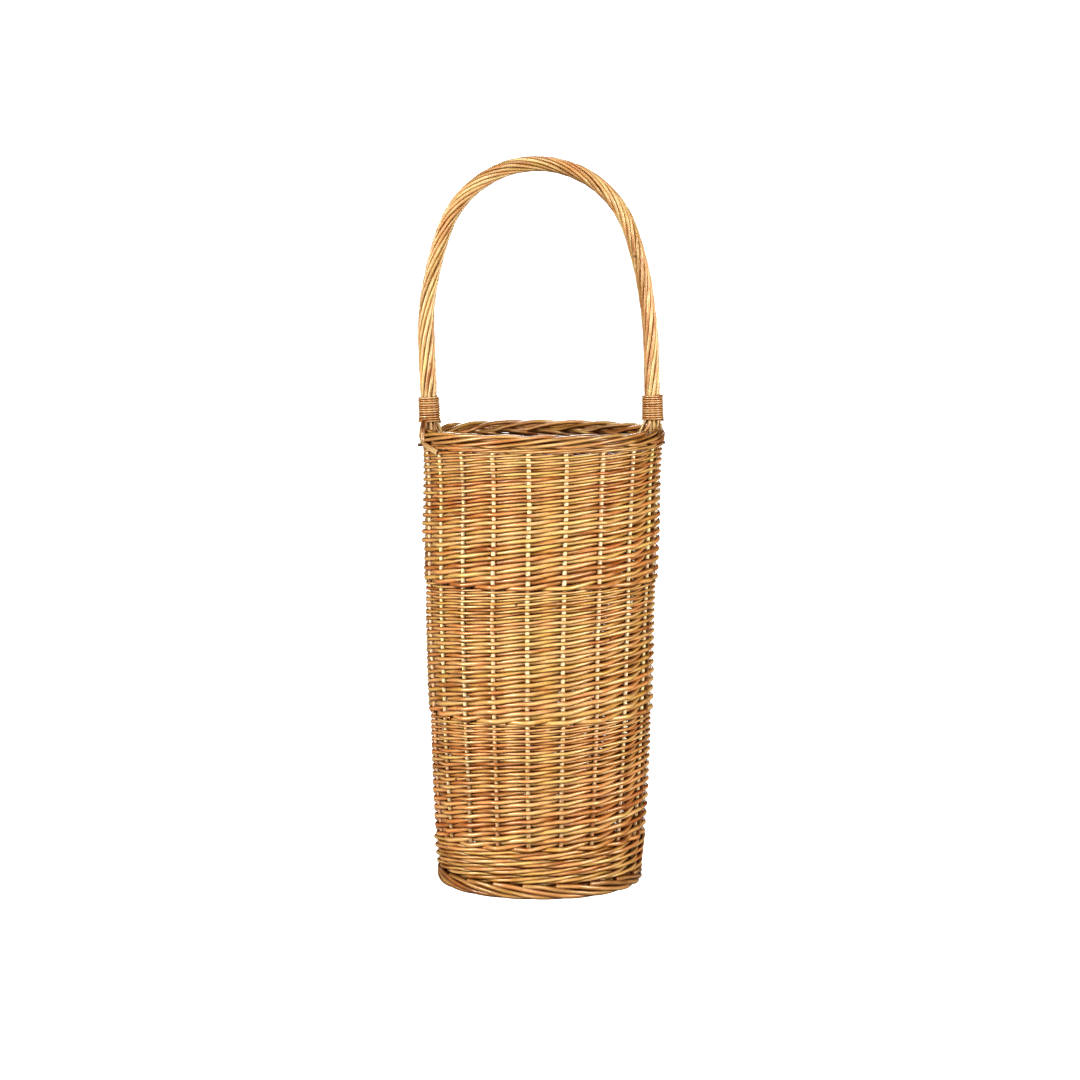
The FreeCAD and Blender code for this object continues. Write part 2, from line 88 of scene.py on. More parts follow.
BELLY, BELLY_START, BELLY_LENGTH = 3.5, 30, 410
TOP_FLARE, TOP_FLARE_START, TOP_FLARE_LENGTH = 1.2, 450, 30
FOOT_TUCK, FOOT_TUCK_HEIGHT = 5.5, 32
LEAN_LEVELS = [300, 430, 500, 540, 570, 640]
LEAN_OFFSETS = [0, 2.4, 2.4, 1.2, 0.3, -2.5]


def wall_radius(z):
    """Radius of the stake circle at a height: a flare with a slight belly, drawn in at the foot."""
    flare = STAKE_FOOT_RADIUS + (STAKE_TOP_RADIUS - STAKE_FOOT_RADIUS) * z / RIM_BOTTOM
    belly = BELLY * np.sin(math.pi * np.clip((z - BELLY_START) / BELLY_LENGTH, 0, 1))
    belly = belly + TOP_FLARE * np.clip((z - TOP_FLARE_START) / TOP_FLARE_LENGTH, 0, 1)
    return flare + belly - FOOT_TUCK * np.exp(-z / FOOT_TUCK_HEIGHT)


def stake_angle(number):
    """Angle of a stake: even spacing, but for a few that lean round to one side."""
    turns, k = divmod(number, STAKES)
    angle = PHASE + FULL_TURN / STAKES * k
    drift = DRIFT * math.exp(-(((angle - DRIFT_ANGLE) / DRIFT_WIDTH) ** 2))
    return angle + drift + FULL_TURN * turns


def angle_at(position):
    """Angle, in radians, at a place counted in stakes, whole numbers being the stakes themselves."""
    position = np.asarray(position, float)
    first, last = int(np.floor(position.min())), int(np.ceil(position.max())) + 1
    ticks = np.arange(first, last + 1)
    return np.radians(np.interp(position, ticks, [stake_angle(int(k)) for k in ticks]))


def lean(z):
    """How far the stand leans sideways at a height: the rim one way, the bow's crown the other."""
    return np.interp(z, LEAN_LEVELS, LEAN_OFFSETS)


def ring_points(position, radius, z):
    """Points in space from a place round the ring, counted in stakes, a radius and a height."""
    angle = angle_at(position)
    return np.stack([radius * np.cos(angle), radius * np.sin(angle), z + 0 * angle], axis=1)


# ---------------------------------------------------------------- rods

INNER_SHADE = 0.62  # painted shade: how much darker a rod is on its side that faces into the basket, below the rim
INNER_SHADE_ONSET = 0.25
PAINTED_HIGHLIGHT = 0.25  # painted highlight: how much paler a rod is along its upper side
PAINTED_HIGHLIGHT_MIDDLE, PAINTED_HIGHLIGHT_WIDTH = 0.2, 0.4
CREVICE_SHADE_ONSET, CREVICE_SHADE_WIDTH = 0.44, 0.45  # where the painted shade between neighbouring rods sets in
CREVICE_SHADE_ABOVE = 0.7  # the painted shade's share on a rod's upper side, against 1 underneath
UNEVENNESS = 0.035  # how much a rod's thickness wanders along it
MOST_OVAL = 0.06
CAP_LENGTH, CAP_RADIUS = 0.12, 0.8  # a rod's rounded ends, as shares of its radius


def smooth_line(controls, step):
    """A smooth line through the control points (centripetal Catmull-Rom), a point every step or so."""
    p = np.asarray(controls, float)
    p = np.vstack([2 * p[0] - p[1], p, 2 * p[-1] - p[-2]])
    line = []
    for i in range(1, len(p) - 2):
        a, b, c, d = p[i - 1 : i + 3]
        t1 = np.linalg.norm(b - a) ** 0.5
        t2 = t1 + np.linalg.norm(c - b) ** 0.5
        t3 = t2 + np.linalg.norm(d - c) ** 0.5
        count = max(2, int(np.linalg.norm(c - b) / step))
        for t in np.linspace(t1, t2, count, endpoint=False):
            ab = a * (t1 - t) / t1 + b * t / t1
            bc = b * (t2 - t) / (t2 - t1) + c * (t - t1) / (t2 - t1)
            cd = c * (t3 - t) / (t3 - t2) + d * (t - t2) / (t3 - t2)
            abc = ab * (t2 - t) / t2 + bc * t / t2
            bcd = bc * (t3 - t) / (t3 - t1) + cd * (t - t1) / (t3 - t1)
            line.append(abc * (t2 - t) / (t2 - t1) + bcd * (t - t1) / (t2 - t1))
    return np.array(line + [p[-2]])


def frames_along(path):
    """A tangent and two crosswise directions at each point, carried along without twist."""
    tangents = np.gradient(path, axis=0)
    tangents /= np.linalg.norm(tangents, axis=1)[:, None]
    start = np.array([0.0, 0.0, 1.0])
    if abs(tangents[0] @ start) > 0.9:
        start = np.array([1.0, 0.0, 0.0])
    across = np.empty_like(tangents)
    side = start - tangents[0] * (start @ tangents[0])
    for i, tangent in enumerate(tangents):
        side = side - tangent * (side @ tangent)
        side = side / math.sqrt(side @ side)
        across[i] = side
    return tangents, across, np.cross(tangents, across)


def slow_noise(count, every, amount):
    """A gentle random wander, with a turn every so many points."""
    knots = max(4, int(count / every) + 3)
    values = [random.uniform(-amount, amount) for _ in range(knots)]
    x = np.linspace(0, knots - 3, count)
    i = np.minimum(x.astype(int), knots - 3)
    f = x - i
    f = f * f * (3 - 2 * f)
    v = np.array(values)
    return v[i] * (1 - f) + v[i + 1] * f


def per_ring(value, count):
    """A value, or one for each point of a path, as a column with one more at each end."""
    return np.pad(np.broadcast_to(value, (count,)), 1, mode="edge")[:, None]


def tube_mesh(name, points):
    """A closed tube through rings of points, smooth but for its two end faces."""
    rings, sides = points.shape[:2]
    ring = np.arange(rings - 1)[:, None] * sides
    k = np.arange(sides)[None, :]
    following = (k + 1) % sides
    quads = np.stack([ring + k, ring + following, ring + sides + following, ring + sides + k], axis=2)
    faces = quads.reshape(-1, 4).tolist()
    faces.append(list(range(sides))[::-1])
    faces.append(list(range((rings - 1) * sides, rings * sides)))
    mesh = bpy.data.meshes.new(name)
    mesh.from_pydata((points.reshape(-1, 3) * MM).tolist(), [], faces)
    mesh.polygons.foreach_set("use_smooth", [True] * (len(faces) - 2) + [False, False])
    return mesh


def store(mesh, name, values):
    """Keeps three values for each point of a mesh, under a name that its material reads."""
    attribute = mesh.attributes.new(name, "FLOAT_VECTOR", "POINT")
    attribute.data.foreach_set("vector", values.ravel())


def painted_shade_and_highlight(path, points, radius, crevice_shade):
    """Painted shade and a painted highlight at each point of a rod, from the way each side faces."""
    away = (points - path[:, None, :]) / radius[:, None, None]
    outward = np.sum(away[:, :, :2] * path[:, None, :2], axis=2)
    outward /= np.maximum(np.linalg.norm(path[:, :2], axis=1), 1.0)[:, None]
    # painted shade on the side of a wall rod that faces into the basket
    inner_shade = np.where(path[:, 2] > RIM_BOTTOM, 0.0, INNER_SHADE)[:, None]
    inside = inner_shade * np.clip(INNER_SHADE_ONSET - outward, 0, 1)
    up = away[:, :, 2]
    # painted shade between neighbouring rods, deeper on a rod's underside
    between = np.clip((np.abs(up) - CREVICE_SHADE_ONSET) / CREVICE_SHADE_WIDTH, 0, 1)
    between = crevice_shade * np.where(up < 0, 1.0, CREVICE_SHADE_ABOVE) * between
    # painted highlight along the rod's upper side
    painted_highlight = PAINTED_HIGHLIGHT * np.clip(1 - np.abs(up - PAINTED_HIGHLIGHT_MIDDLE) / PAINTED_HIGHLIGHT_WIDTH, 0, 1)
    return inside + between, painted_highlight


def rod(
    name, path, diameter, material, nodes, shade=0.0, sides=10, tint=None, hue=None,
    crevice_shade=1.0, beyond=None,
):
    """A willow rod swept along a path, with rounded ends, as a piece that stands for the CAD nodes.

    Shade is how dark the rod is, tint how pale and hue how yellow, each for the whole rod or for
    each point; on top of these the rod gets painted shade on its side that faces into the basket and
    towards its neighbours, and a painted highlight along its upper side. The crevice shade argument
    is how much of that painted shade it gets towards its neighbours. Beyond is a point of the path
    and the material that the rod has from there on.
    """
    path = np.array(path, float)
    path[:, 0] += lean(path[:, 2])
    count = len(path)
    radius = np.broadcast_to(np.asarray(diameter, float) / 2, (count,))
    radius = radius * (1 + slow_noise(count, 14, UNEVENNESS))
    tangents, across, other = frames_along(path)
    cap = radius[[0, -1]] * CAP_LENGTH
    path = np.vstack([path[0] - tangents[0] * cap[0], path, path[-1] + tangents[-1] * cap[1]])
    radius = np.concatenate([[radius[0] * CAP_RADIUS], radius, [radius[-1] * CAP_RADIUS]])
    across = np.vstack([across[:1], across, across[-1:]])
    other = np.vstack([other[:1], other, other[-1:]])
    rings = count + 2
    turn = np.linspace(0, 2 * math.pi, sides, endpoint=False) + random.uniform(0, math.pi)
    oval = 1 + random.uniform(0.0, MOST_OVAL) * np.cos(2 * turn)
    cos, sin = np.cos(turn) * oval, np.sin(turn) * oval
    points = path[:, None, :] + radius[:, None, None] * (
        across[:, None, :] * cos[None, :, None] + other[:, None, :] * sin[None, :, None]
    )
    mesh = tube_mesh(name, points)

    along = np.concatenate([[0], np.cumsum(np.linalg.norm(np.diff(path, axis=0), axis=1))])
    start = [random.uniform(0, 900) for _ in range(3)]
    grain = np.empty((rings, sides, 3))
    grain[:, :, 0] = along[:, None] + start[0]
    grain[:, :, 1] = start[1] + radius[:, None] * np.cos(turn)[None, :]
    grain[:, :, 2] = start[2] + radius[:, None] * np.sin(turn)[None, :]
    store(mesh, "grain", grain)
    # painted shade and a painted highlight, from the way each side of the rod faces
    darker, paler = painted_shade_and_highlight(path, points, radius, crevice_shade)
    facts = np.empty((rings, sides, 3))
    facts[:, :, 0] = per_ring(random.random() if tint is None else tint, count) + paler
    facts[:, :, 1] = np.clip(per_ring(shade, count) + darker, 0, 1)
    facts[:, :, 2] = per_ring(random.random() if hue is None else hue, count)
    store(mesh, "rod", facts)

    piece = bpy.data.objects.new(name, mesh)
    bpy.context.scene.collection.objects.link(piece)
    mesh.materials.append(material)
    if beyond:
        mesh.materials.append(beyond[1])
        second = np.arange(len(mesh.polygons)) >= beyond[0] * sides
        second[-2:] = (False, True)
        mesh.polygons.foreach_set("material_index", second.astype(np.int32))
    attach(piece, BODY)
    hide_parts(*nodes)
    return piece


# ---------------------------------------------------------------- materials

YELLOWER, REDDER = (0.97, 1.06, 0.70), (1.08, 0.76, 0.66)  # what the two ends of the hue multiply by
BUD_SCAR = (0.035, 0.014, 0.006)
PAINTED_SHADE_AND_TONE = (0.15, 0.035, 0.003)  # what the colour is multiplied by in full shade: painted shade, and the browner tone of some rods
RIDGE_HEIGHT = 0.35
DULLEST = 0.14  # how much rougher the varnish is where it's roughest
VARNISH_TINT = (1.0, 0.91, 0.74, 1.0)


def willow(name, deep, body, pale, knots, gloss):
    """Varnished willow: streaks along the rod, slow mottling, scattered dark bud scars, fine ridges.

    Knots is how dark the bud scars are, and gloss is the roughness of the varnish where it's smoothest.
    """
    material = bpy.data.materials.new(name)
    material.use_nodes = True
    tree = material.node_tree
    nodes, links = tree.nodes, tree.links
    nodes.clear()

    def node(kind, **settings):
        made = nodes.new(kind)
        for key, value in settings.items():
            setattr(made, key, value)
        return made

    def scaled_vector(vector, factors):
        made = node("ShaderNodeVectorMath", operation="MULTIPLY")
        links.new(vector, made.inputs[0])
        made.inputs[1].default_value = factors
        return made.outputs[0]

    def noise(vector, stretch, detail, rough):
        made = node("ShaderNodeTexNoise")
        made.inputs["Scale"].default_value = 1.0
        made.inputs["Detail"].default_value = detail
        made.inputs["Roughness"].default_value = rough
        links.new(scaled_vector(vector, stretch), made.inputs["Vector"])
        return made.outputs["Fac"]

    def remap(value, low, high, to_low=0.0, to_high=1.0):
        made = node("ShaderNodeMapRange", interpolation_type="SMOOTHSTEP")
        links.new(value, made.inputs["Value"])
        made.inputs["From Min"].default_value = low
        made.inputs["From Max"].default_value = high
        made.inputs["To Min"].default_value = to_low
        made.inputs["To Max"].default_value = to_high
        return made.outputs["Result"]

    def mix(share, a, b, blend="MIX"):
        made = node("ShaderNodeMix", data_type="RGBA", blend_type=blend)
        for socket, value in ((made.inputs[0], share), (made.inputs[6], a), (made.inputs[7], b)):
            if isinstance(value, (tuple, float)):
                socket.default_value = (*value, 1.0) if isinstance(value, tuple) else value
            else:
                links.new(value, socket)
        return made.outputs[2]

    def scaled_value(value, factor):
        made = node("ShaderNodeMath", operation="MULTIPLY")
        links.new(value, made.inputs[0])
        made.inputs[1].default_value = factor
        return made.outputs[0]

    grain = node("ShaderNodeAttribute", attribute_name="grain").outputs["Vector"]
    facts = node("ShaderNodeSeparateXYZ")
    links.new(node("ShaderNodeAttribute", attribute_name="rod").outputs["Vector"], facts.inputs[0])
    tint, shade, hue = facts.outputs

    streak = noise(grain, (0.045, 0.95, 0.95), 5.0, 0.6)
    mottle = noise(grain, (0.022, 0.12, 0.12), 3.0, 0.55)
    fine = noise(grain, (0.30, 3.2, 3.2), 4.0, 0.6)
    drift = noise(grain, (0.05, 0.10, 0.10), 2.0, 0.5)
    warmth = node("ShaderNodeMath", operation="MULTIPLY_ADD")
    links.new(drift, warmth.inputs[0])
    warmth.inputs[1].default_value = 1.6
    links.new(scaled_value(hue, 0.8), warmth.inputs[2])
    warmth = warmth.outputs[0]

    colour = mix(remap(streak, 0.36, 0.68), body, pale)
    colour = mix(scaled_value(remap(mottle, 0.48, 0.70), 0.8), colour, deep)
    colour = mix(scaled_value(remap(tint, 0.45, 1.0), 0.55), colour, pale)
    colour = mix(scaled_value(remap(tint, 0.40, 0.0), 0.55), colour, deep)
    colour = mix(scaled_value(remap(fine, 0.55, 0.35), 0.30), colour, deep)
    colour = mix(scaled_value(remap(warmth, 1.2, 1.7), 0.6), colour, YELLOWER, "MULTIPLY")
    colour = mix(scaled_value(remap(warmth, 1.2, 0.7), 0.6), colour, REDDER, "MULTIPLY")

    spots = node("ShaderNodeTexVoronoi", feature="F1")
    links.new(scaled_vector(grain, (0.030, 0.022, 0.022)), spots.inputs["Vector"])
    spots.inputs["Scale"].default_value = 1.0
    spot = remap(spots.outputs["Distance"], 0.055, 0.030)
    colour = mix(scaled_value(spot, knots), colour, BUD_SCAR)
    # painted shade, with the browner tone of some rods, multiplies the colour by the rod's shade value
    colour = mix(scaled_value(shade, 0.97), colour, PAINTED_SHADE_AND_TONE, "MULTIPLY")

    ridges = node("ShaderNodeMath", operation="ADD")
    links.new(scaled_value(streak, 0.7), ridges.inputs[0])
    links.new(scaled_value(fine, 0.5), ridges.inputs[1])
    bump = node("ShaderNodeBump")
    bump.inputs["Strength"].default_value = 0.35
    bump.inputs["Distance"].default_value = RIDGE_HEIGHT * MM
    links.new(ridges.outputs[0], bump.inputs["Height"])

    shader = node("ShaderNodeBsdfPrincipled")
    links.new(colour, shader.inputs["Base Color"])
    links.new(remap(fine, 0.3, 0.7, gloss, gloss + DULLEST), shader.inputs["Roughness"])
    links.new(bump.outputs[0], shader.inputs["Normal"])
    shader.inputs["Specular IOR Level"].default_value = 0.7
    shader.inputs["Specular Tint"].default_value = VARNISH_TINT
    shader.inputs["Coat Weight"].default_value = 0.15
    shader.inputs["Coat Roughness"].default_value = 0.15
    out = node("ShaderNodeOutputMaterial")
    links.new(shader.outputs[0], out.inputs["Surface"])
    return material


WEAVE = willow(
    "weave_willow_rods",
    deep=(0.23, 0.066, 0.009), body=(0.45, 0.200, 0.048), pale=(0.67, 0.45, 0.205),
    knots=0.9, gloss=0.24,
)
# The stakes' colours are paler than the other rods': partly their own colour, partly a painted
# highlight for the sheen along upright rods.
UPRIGHT = willow(
    "stake_willow_rods",
    deep=(0.34, 0.130, 0.028), body=(0.78, 0.54, 0.27), pale=(0.92, 0.80, 0.56),
    knots=0.5, gloss=0.26,
)
BORDER = willow(
    "border_willow_rods",
    deep=(0.16, 0.053, 0.012), body=(0.355, 0.168, 0.050), pale=(0.54, 0.34, 0.140),
    knots=0.9, gloss=0.24,
)
HANDLE = willow(
    "handle_willow_rods",
    deep=(0.23, 0.084, 0.016), body=(0.42, 0.242, 0.092), pale=(0.59, 0.46, 0.25),
    knots=0.7, gloss=0.24,
)
BASE = willow(
    "base_willow_rods",
    deep=(0.15, 0.055, 0.016), body=(0.34, 0.16, 0.05), pale=(0.46, 0.26, 0.10),
    knots=0.8, gloss=0.42,
)


# ---------------------------------------------------------------- the hoop handle's centre line

SPRING_DEPTH = 199.8  # how far below the crown the bow's sides start to curve in
LEG_SPLAY = 1.2  # how much nearer the axis each leg is at its foot than where it starts to curve
CORE_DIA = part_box("handle_core")[1][1] * 2 / MM
CROWN_LEVEL = levels("handle_core")[1] - CORE_DIA / 2
CORE_FOOT_LEVEL = levels("handle_core")[0]
SPRING_SPAN = half_width("handle_core") - CORE_DIA / 2
SPRING_LEVEL = CROWN_LEVEL - SPRING_DEPTH
FOOT_SPAN = SPRING_SPAN - LEG_SPLAY
CROWN_RADIUS = 109.0
STRAND_DIA = 3.8


def arc(centre, radius, first, last):
    angle = np.linspace(first, last, 60)
    return np.stack([centre[0] + radius * np.cos(angle), centre[1] + radius * np.sin(angle)], axis=1)


def bow_line(step):
    """The bow's centre line in the XZ plane, from the right-hand foot over the crown to the left."""
    tilt = math.atan((SPRING_SPAN - FOOT_SPAN) / (SPRING_LEVEL - CORE_FOOT_LEVEL))
    crown_centre = CROWN_LEVEL - CROWN_RADIUS
    drop = SPRING_LEVEL - crown_centre
    across = SPRING_SPAN * math.cos(tilt) - drop * math.sin(tilt) - CROWN_RADIUS
    side_radius = (SPRING_SPAN**2 + drop**2 - CROWN_RADIUS**2) / (2 * across)
    side_centre = (
        SPRING_SPAN - side_radius * math.cos(tilt),
        SPRING_LEVEL + side_radius * math.sin(tilt),
    )
    join = math.atan2(crown_centre - side_centre[1], -side_centre[0])
    side = arc(side_centre, side_radius, -tilt, join)[:-1]
    crown = arc((0.0, crown_centre), CROWN_RADIUS, join, math.pi / 2)
    half = np.vstack([[FOOT_SPAN, CORE_FOOT_LEVEL], side, crown])
    whole = np.vstack([half, half[-2::-1] * (-1, 1)])
    length = np.concatenate([[0], np.cumsum(np.hypot(*np.diff(whole, axis=0).T))])
    even = np.linspace(0, length[-1], int(length[-1] / step) + 1)
    x, z = (np.interp(even, length, whole[:, i]) for i in range(2))
    return np.stack([x, 0 * even, z], axis=1)


def core_radius_at(z):
    """Distance of the bow's leg from the basket's axis at a height in the wall."""
    return np.interp(z, [CORE_FOOT_LEVEL, SPRING_LEVEL], [FOOT_SPAN, SPRING_SPAN])


# ---------------------------------------------------------------- the randed wall

BEND_WIDTH = 0.17  # a rod lies straight between stakes and bends over this share of the spacing
PRESSED = 0.80  # how close the rods press on the stakes, 1 being just touching
LEVEL_SHARE = 0.10  # the share of the spacing over which a rod runs level, on each side of a stake
BOW_CLEARANCE_ANGLE = 3.6  # the rods are moved off the bow's legs over about this angle
BUTT_START = -0.62  # a rod's butt lies this many stakes before the first stake that it passes
BUTT_STEEPNESS = 1.35  # how much faster it swings to the inside there
BUTT_DROP = 1.2  # and how much lower it lies, for each stake
SEAM_DROP = 1.3  # each band's butts bed down between the tips of the band below
SPARE = 0.15  # the room that each layer of rods has, over the rods' own thickness
FRONT_HIGHLIGHT_ANGLE, FRONT_HIGHLIGHT_WIDTH = 266.0, 18  # a painted highlight: the wall's rods are paler and yellower where the wall faces the camera
FRONT_HIGHLIGHT_TINT, FRONT_HIGHLIGHT_HUE = 0.18, 0.22
FOOT_REDNESS = 0.18  # how much redder the rods are in the lowest part of the wall


def eased(shape, u):
    """A shape of straight runs with its corners rounded, as stiff rods take round the stakes."""
    offsets = np.linspace(-BEND_WIDTH / 2, BEND_WIDTH / 2, 9)
    return np.mean([shape(u + offset) for offset in offsets], axis=0)


def zigzag(u):
    """+1 in front of an even stake and -1 behind an odd one, straight in between."""
    w = np.mod(u, 2)
    return np.where(w < 1, 1 - 2 * w, 2 * w - 3)


def rand_swing(u):
    return eased(zigzag, u) / (1 - BEND_WIDTH / 2)


def steps(u):
    """Rises by one from each stake to the next, level where the rod crosses the stakes."""
    return np.floor(u) + np.clip((np.mod(u, 1) - LEVEL_SHARE) / (1 - 2 * LEVEL_SHARE), 0, 1)


def sway(angle, z):
    """The slow unevenness that neighbouring rods share, as a rise and an in-or-out offset."""
    rise = 0.6 * np.sin(3 * angle + z / 60) + 0.35 * np.sin(7 * angle - z / 45 + 1.3)
    out = 0.5 * np.sin(2 * angle + z / 61 + 0.7) + 0.3 * np.sin(5 * angle - z / 41)
    return rise, out


def round_the_bow(angle, z, radius, rod_radius):
    """Moves a path off the bow's legs where it passes them in the wall."""
    for foot_angle in (0.0, math.pi):
        away = np.angle(np.exp(1j * (angle - foot_angle)))
        near = np.exp(-((away / math.radians(BOW_CLEARANCE_ANGLE)) ** 2)) * (z > CORE_FOOT_LEVEL - 4)
        centre = core_radius_at(z)
        reach = CORE_DIA / 2 + rod_radius
        outside = radius > wall_radius(z)
        wanted = np.where(outside, centre + reach, centre - reach)
        lack = np.where(outside, np.maximum(wanted - radius, 0), np.minimum(wanted - radius, 0))
        radius = radius + lack * near
    return radius


def rand_rod(name, band, first_stake, bottom, top, layers):
    """One rod of French randing: it passes in front of a stake, behind the next, and climbs."""
    scale = random.uniform(1.09, 1.19)
    per_stake = 16
    end = layers + random.uniform(0.15, 0.40)
    u = np.linspace(BUTT_START, end, int((end - BUTT_START) * per_stake))
    share = np.clip(u / layers, 0, 1)
    diameter = BUTT_DIA + (TIP_DIA - BUTT_DIA) * share
    fine = np.linspace(0, layers, 400)
    thickness = BUTT_DIA + (TIP_DIA - BUTT_DIA) * fine / layers
    climbed = np.concatenate([[0], np.cumsum((thickness[1:] + thickness[:-1]) / 2 * np.diff(fine))])
    climbed *= (top - bottom + SEAM_DROP - (BUTT_DIA + TIP_DIA) / 2) / climbed[-1]
    z = bottom + BUTT_DIA / 2 - SEAM_DROP + np.interp(eased(steps, u), fine, climbed)
    z = z + np.minimum(u, 0) * BUTT_DROP
    place = first_stake + u
    angle = angle_at(place)
    rise, out = sway(angle, z)
    inside = np.clip((z - bottom) / 12, 0, 1) * np.clip((top - z) / 12, 0, 1)
    z = z + rise * inside + slow_noise(len(u), 11, 0.16)
    amplitude = (STAKE_DIA + diameter) / 2 * PRESSED
    swing = rand_swing(np.where(u < 0, u * BUTT_STEEPNESS, u))
    radius = wall_radius(z) + out + amplitude * swing + slow_noise(len(u), 9, 0.18)
    radius = round_the_bow(angle, z, radius, diameter / 2)
    path = ring_points(place, radius, z)
    # painted highlight where the wall faces the camera
    front = np.exp(-(((np.degrees(angle) % FULL_TURN - FRONT_HIGHLIGHT_ANGLE) / FRONT_HIGHLIGHT_WIDTH) ** 2))
    redness = np.interp(z, [60, 240], [FOOT_REDNESS, 0.0])
    hue = np.clip(random.random() + FRONT_HIGHLIGHT_HUE * front - redness, -0.2, 1.3)
    tint = random.random() + FRONT_HIGHLIGHT_TINT * front
    return rod(name, path, diameter * scale, WEAVE, [band], tint=tint, hue=hue)


def make_rands():
    for name, bottom, top in BANDS:
        layers = round((top - bottom) / ((BUTT_DIA + TIP_DIA) / 2 + SPARE))
        for j in range(STAKES):
            rand_rod(f"rand_{name}_rod_{j + 1:02d}", f"rand_band_{name}", j, bottom, top, layers)


# ---------------------------------------------------------------- waling

UPSET_ROUNDS = 4
TOP_WALE_DIA = 2.7
UPSET_DROP = 1.2  # how far the first round beds down into the foot border
WALE_CROWNING = 0.35  # how much further out a stroke stands, midway over its two stakes
WALE_LIFT = 1.7  # how far a stroke rises, in rod thicknesses
JOIN_LAP = 0.35  # how far, in stakes, an old rod runs on past the start of the next one


def wale_run(v):
    """Three-rod wale: behind one stake and in front of two, over the other rods, in straight runs."""
    v = np.mod(v, 3)
    crowned = 1 + WALE_CROWNING * (1 - 2 * np.abs(v - 1.5))
    return np.where(v < 1, 2 * v - 1, np.where(v < 2, crowned, 5 - 2 * v))


def wale_rise(v):
    """Each stroke starts low, under the others, and ends on top of them."""
    v = np.mod(v - 0.5, 3)
    return np.where(v < 2, (v - 1) / 2, 0.5 - (v - 2))


def wale_rod(name, node, strand, rounds, bottom, height, diameter, start, material):
    """One strand of a wale: rounds that step up, one over the other, just before the first stake."""
    begin = strand - 0.4
    s = np.arange(begin, rounds * STAKES + strand + JOIN_LAP, 1 / 16)
    lap = np.floor(np.maximum(s, 0) / STAKES)
    lap_share = np.clip((np.mod(np.maximum(s, 0), STAKES) - (STAKES - 3)) / 3, 0, 1)
    climb = lap + lap_share * lap_share * (3 - 2 * lap_share)
    climb = np.minimum(climb, rounds - 1)
    v = s - strand
    lift = WALE_LIFT * np.convolve(np.pad(wale_rise(v), 5, mode="edge"), np.ones(11) / 11, mode="valid")
    place = start + s
    angle = angle_at(place)
    z = bottom + height * (climb + 0.5) + lift * diameter
    z = z + slow_noise(len(s), 20, 0.15)
    rise, out = sway(angle, z)
    swing = (STAKE_DIA / 2 + diameter / 2) * eased(wale_run, v)
    radius = wall_radius(z) + out * 0.5 + swing + slow_noise(len(s), 12, 0.15)
    radius = round_the_bow(angle, z, radius, diameter / 2)
    path = ring_points(place, radius, z)
    for i, (first, last) in enumerate(joined(s, strand, begin)):
        part = np.flatnonzero((s >= first) & (s <= last))
        thickness = diameter * random.uniform(0.97, 1.07)
        tint = random.uniform(0.3, 0.95)
        rod(f"{name}_{i + 1}", path[part], thickness, material, [node], tint=tint)


def joined(s, strand, begin):
    """Where each length of a wale's rod begins and ends: every join is at the start of a stroke."""
    joins = [begin]
    while joins[-1] < s[-1] - 10:
        strokes = round((joins[-1] - strand) / 3 + random.uniform(1.6, 3.4))
        joins.append(strand + 3 * strokes + 2.2)
    ends = [join + JOIN_LAP for join in joins[1:]] + [s[-1]]
    return list(zip(joins, ends))


def make_wales():
    upset_height = (WALE_TOP - WALE_BOTTOM) / UPSET_ROUNDS
    bands_top = BANDS[-1][2]
    for strand in range(3):
        wale_rod(
            f"upset_wale_rod_{strand + 1}", "upset_wale", strand, UPSET_ROUNDS,
            WALE_BOTTOM - UPSET_DROP, upset_height, WALE_DIA, 6, WEAVE,
        )
        wale_rod(
            f"top_wale_rod_{strand + 1}", "top_wale", strand, 1,
            bands_top, RIM_BOTTOM - bands_top, TOP_WALE_DIA, 5, WEAVE,
        )


# ---------------------------------------------------------------- stakes and the rolled top border

# The border's rod from where its stake bends over, point by point: how many stakes it has passed,
# its distance inside the rim's outer face, and its height over the border's underside.
BORDER_ROUTE = [
    (0.50, 10.1, -2.5), (1.00, 13.1, 1.0), (1.50, 7.6, 2.5), (2.00, 2.6, 1.4), (2.50, 1.9, 3.4),
    (3.00, 1.7, 6.2), (3.50, 2.3, 8.9), (4.00, 4.2, 11.3), (4.50, 7.2, 12.1), (5.00, 11.1, 10.3),
    (5.50, 13.6, 7.0), (5.85, 12.8, 3.6), (6.40, 9.6, 3.8), (7.20, 7.4, 7.0), (8.20, 6.9, 8.6),
    (9.20, 7.8, 7.4), (10.1, 8.6, 5.2),
]
BORDER_WANDER = 0.35
ROLLED_SHARES = [0, 0.1, 0.62, 1]  # along the rolled part of the rod, and its diameters there
ROLLED_DIAMETERS = [STAKE_DIA, 4.7, 4.6, 3.4]
STAKE_FOOT = [(58, 0), (78, 0), (93, 0), (101.0, 2.6)]  # radius, and height over the base's middle
FOOT_SHADE = 0.35  # how much browner the stakes are towards the foot


